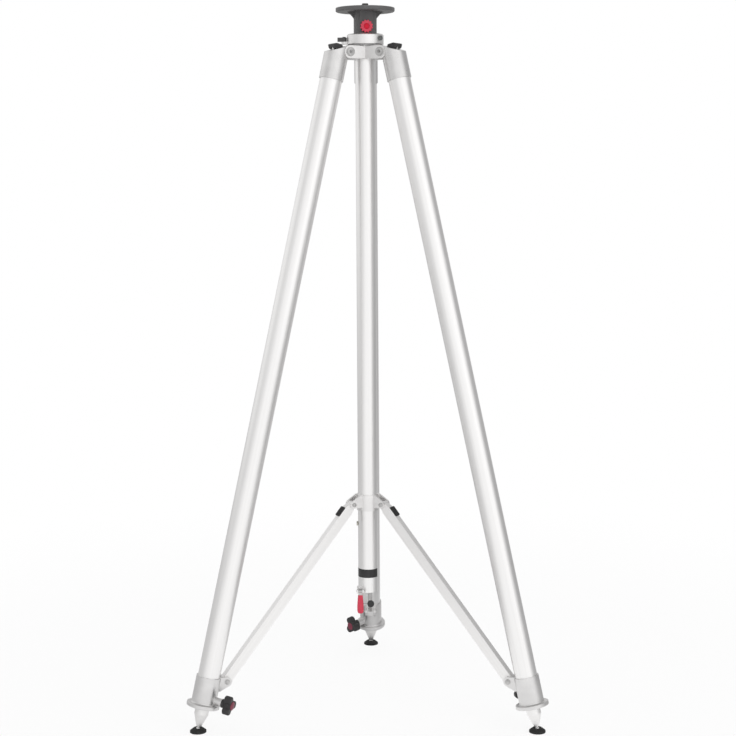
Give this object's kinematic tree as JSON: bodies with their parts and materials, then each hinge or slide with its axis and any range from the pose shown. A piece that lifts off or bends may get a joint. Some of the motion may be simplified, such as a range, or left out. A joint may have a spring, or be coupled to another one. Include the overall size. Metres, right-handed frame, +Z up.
{
  "type": "surveying tripod",
  "caption": "Surveying tripod with telescopic clamped legs, a sliding spreader on a central column, an elevating post and a round instrument plate with a threaded stud.",
  "frame": {"origin": "on the floor, under the middle of the outline", "axes": "+Z up along the column towards the stud, +Y towards the rear leg, -Y towards the front, where the red knob is"},
  "size_m": [0.8118, 0.714, 1.6217],
  "materials": {
    "silver_tube": "satin anodised",
    "cast_grey": "fine cast, satin",
    "black_cast": "matte black",
    "black_plastic": "matte",
    "red_plastic": "satin red",
    "rubber": "matte",
    "steel": "turned",
    "steel_dark": "blackened"
  },
  "bodies": {
    "crown": {"crown_casting": "cast_grey", "hinge_pins": "steel", "center_column": "silver_tube", "hub_stop": "steel_dark", "collar_seal": "rubber", "clamp_collar": "cast_grey", "collar_nut": "steel_dark", "lever_bracket": "cast_grey"},
    "post": {"elevating_post": "silver_tube"},
    "plate": {"instrument_plate": "black_cast", "fixing_stud": "steel"},
    "plate_knob": {"plate_knob": "red_plastic", "plate_knob_screw": "steel"},
    "collar_lever": {"collar_lever": "black_plastic"},
    "column_lever": {"column_lever": "red_plastic", "lever_shank": "steel", "lever_button": "black_plastic"},
    "hub": {"spreader_hub": "cast_grey", "hub_pins": "steel"},
    "leg_left": {"leg_cap_left": "cast_grey", "leg_tube_left": "silver_tube", "casting_pins_left": "steel_dark", "foot_casting_left": "cast_grey"},
    "catch_left": {"leg_catch_left": "black_plastic"},
    "knob_left": {"foot_knob_left": "black_plastic", "knob_screw_left": "steel"},
    "inner_left": {"inner_leg_left": "silver_tube", "guide_bush_left": "black_plastic", "foot_cone_left": "silver_tube"},
    "pad_left": {"foot_pad_left": "rubber"},
    "strut_left": {"strut_left": "silver_tube", "strut_bumper_left": "rubber"},
    "leg_right": {"leg_cap_right": "cast_grey", "leg_tube_right": "silver_tube", "casting_pins_right": "steel_dark", "foot_casting_right": "cast_grey"},
    "catch_right": {"leg_catch_right": "black_plastic"},
    "knob_right": {"foot_knob_right": "black_plastic", "knob_screw_right": "steel"},
    "inner_right": {"inner_leg_right": "silver_tube", "guide_bush_right": "black_plastic", "foot_cone_right": "silver_tube"},
    "pad_right": {"foot_pad_right": "rubber"},
    "strut_right": {"strut_right": "silver_tube", "strut_bumper_right": "rubber"},
    "leg_rear": {"leg_cap_rear": "cast_grey", "leg_tube_rear": "silver_tube", "casting_pins_rear": "steel_dark", "foot_casting_rear": "cast_grey"},
    "catch_rear": {"leg_catch_rear": "black_plastic"},
    "knob_rear": {"foot_knob_rear": "black_plastic", "knob_screw_rear": "steel"},
    "inner_rear": {"inner_leg_rear": "silver_tube", "guide_bush_rear": "black_plastic", "foot_cone_rear": "silver_tube"},
    "pad_rear": {"foot_pad_rear": "rubber"},
    "strut_rear": {"strut_rear": "silver_tube", "strut_bumper_rear": "rubber"}
  },
  "joints": [
    {"name": "post_lift", "type": "slide", "parent": "crown", "child": "post", "axis": [0, 0, 1], "range_m": [0, 0.4]},
    {"name": "plate_pan", "type": "hinge", "parent": "post", "child": "plate", "pos_m": [0, -0.10632, 1.55368], "axis": [0, 0, 1], "continuous": true},
    {"name": "plate_knob_turn", "type": "hinge", "parent": "plate", "child": "plate_knob", "pos_m": [0.00292, -0.13407, 1.56848], "axis": [0.1045, -0.9945, 0], "range_deg": [0, 360]},
    {"name": "collar_lever_turn", "type": "hinge", "parent": "crown", "child": "collar_lever", "pos_m": [-0.0479, -0.10632, 1.53098], "axis": [0, 0, 1], "range_deg": [0, 100]},
    {"name": "column_lever_swing", "type": "hinge", "parent": "crown", "child": "column_lever", "pos_m": [-0.018, -0.13332, 0.2711], "axis": [-1, 0, 0], "range_deg": [0, 80]},
    {"name": "leg_left_fold", "type": "hinge", "parent": "crown", "child": "leg_left", "pos_m": [-0.04503, -0.13232, 1.51198], "axis": [0.5, -0.866, 0], "range_deg": [0, 12.6]},
    {"name": "catch_left_lift", "type": "hinge", "parent": "leg_left", "child": "catch_left", "pos_m": [-0.06959, -0.1465, 1.52466], "axis": [0.5, -0.866, 0], "range_deg": [0, 40], "stiffness_Nm_per_rad": 0.4, "springref_deg": -17.19},
    {"name": "knob_left_turn", "type": "hinge", "parent": "leg_left", "child": "knob_left", "pos_m": [-0.32422, -0.33323, 0.06899], "axis": [0.924, -0.3511, -0.1517], "range_deg": [0, 360]},
    {"name": "inner_left_slide", "type": "slide", "parent": "leg_left", "child": "inner_left", "axis": [-0.2044, -0.118, -0.9718], "range_m": [0, 0.6]},
    {"name": "pad_left_tilt", "type": "hinge", "parent": "inner_left", "child": "pad_left", "pos_m": [-0.38026, -0.32587, 0.0066], "axis": [0.5, -0.866, 0], "range_deg": [-15, 15]},
    {"name": "strut_left_swing", "type": "hinge", "parent": "leg_left", "child": "strut_left", "pos_m": [-0.32157, -0.29199, 0.10767], "axis": [0.5, -0.866, 0], "range_deg": [-0.02, 27.34]},
    {"name": "leg_right_fold", "type": "hinge", "parent": "crown", "child": "leg_right", "pos_m": [0.04503, -0.13232, 1.51198], "axis": [0.5, 0.866, 0], "range_deg": [-0.01, 12.61]},
    {"name": "catch_right_lift", "type": "hinge", "parent": "leg_right", "child": "catch_right", "pos_m": [0.06959, -0.1465, 1.52466], "axis": [0.5, 0.866, 0], "range_deg": [0, 40], "stiffness_Nm_per_rad": 0.4, "springref_deg": -17.19},
    {"name": "knob_right_turn", "type": "hinge", "parent": "leg_right", "child": "knob_right", "pos_m": [0.35862, -0.27366, 0.06899], "axis": [-0.1579, 0.9757, -0.1517], "range_deg": [0, 360]},
    {"name": "inner_right_slide", "type": "slide", "parent": "leg_right", "child": "inner_right", "axis": [0.2044, -0.118, -0.9718], "range_m": [0, 0.6]},
    {"name": "pad_right_tilt", "type": "hinge", "parent": "inner_right", "child": "pad_right", "pos_m": [0.38026, -0.32587, 0.0066], "axis": [0.5, 0.866, 0], "range_deg": [-15, 15]},
    {"name": "strut_right_swing", "type": "hinge", "parent": "leg_right", "child": "strut_right", "pos_m": [0.32157, -0.29199, 0.10767], "axis": [0.5, 0.866, 0], "range_deg": [-0.02, 27.34]},
    {"name": "leg_rear_fold", "type": "hinge", "parent": "crown", "child": "leg_rear", "pos_m": [0, -0.05432, 1.51198], "axis": [-1, 0, 0], "range_deg": [-0.01, 12.61]},
    {"name": "catch_rear_lift", "type": "hinge", "parent": "leg_rear", "child": "catch_rear", "pos_m": [0, -0.02596, 1.52466], "axis": [-1, 0, 0], "range_deg": [0, 40], "stiffness_Nm_per_rad": 0.4, "springref_deg": -17.19},
    {"name": "knob_rear_turn", "type": "hinge", "parent": "leg_rear", "child": "knob_rear", "pos_m": [-0.0344, 0.28791, 0.06899], "axis": [-0.766, -0.6246, -0.1517], "range_deg": [0, 360]},
    {"name": "inner_rear_slide", "type": "slide", "parent": "leg_rear", "child": "inner_rear", "axis": [0, 0.236, -0.9718], "range_m": [0, 0.6]},
    {"name": "pad_rear_tilt", "type": "hinge", "parent": "inner_rear", "child": "pad_rear", "pos_m": [0, 0.33276, 0.0066], "axis": [-1, 0, 0], "range_deg": [-15, 15]},
    {"name": "strut_rear_swing", "type": "hinge", "parent": "leg_rear", "child": "strut_rear", "pos_m": [0, 0.265, 0.10767], "axis": [-1, 0, 0], "range_deg": [-0.02, 27.34]},
    {"name": "hub_slide", "type": "slide", "parent": "crown", "child": "hub", "axis": [0, 0, 1], "range_m": [-0.00002, 0.0886]}
  ],
  "couplings": [
    {"joint": "strut_left_swing", "follows": "leg_left_fold", "ratio": 2.1679},
    {"joint": "leg_right_fold", "follows": "leg_left_fold", "ratio": 1},
    {"joint": "strut_right_swing", "follows": "leg_left_fold", "ratio": 2.1679},
    {"joint": "leg_rear_fold", "follows": "leg_left_fold", "ratio": 1},
    {"joint": "strut_rear_swing", "follows": "leg_left_fold", "ratio": 2.1679},
    {"joint": "hub_slide", "follows": "leg_left_fold", "m_per_rad": 0.40279}
  ]
}
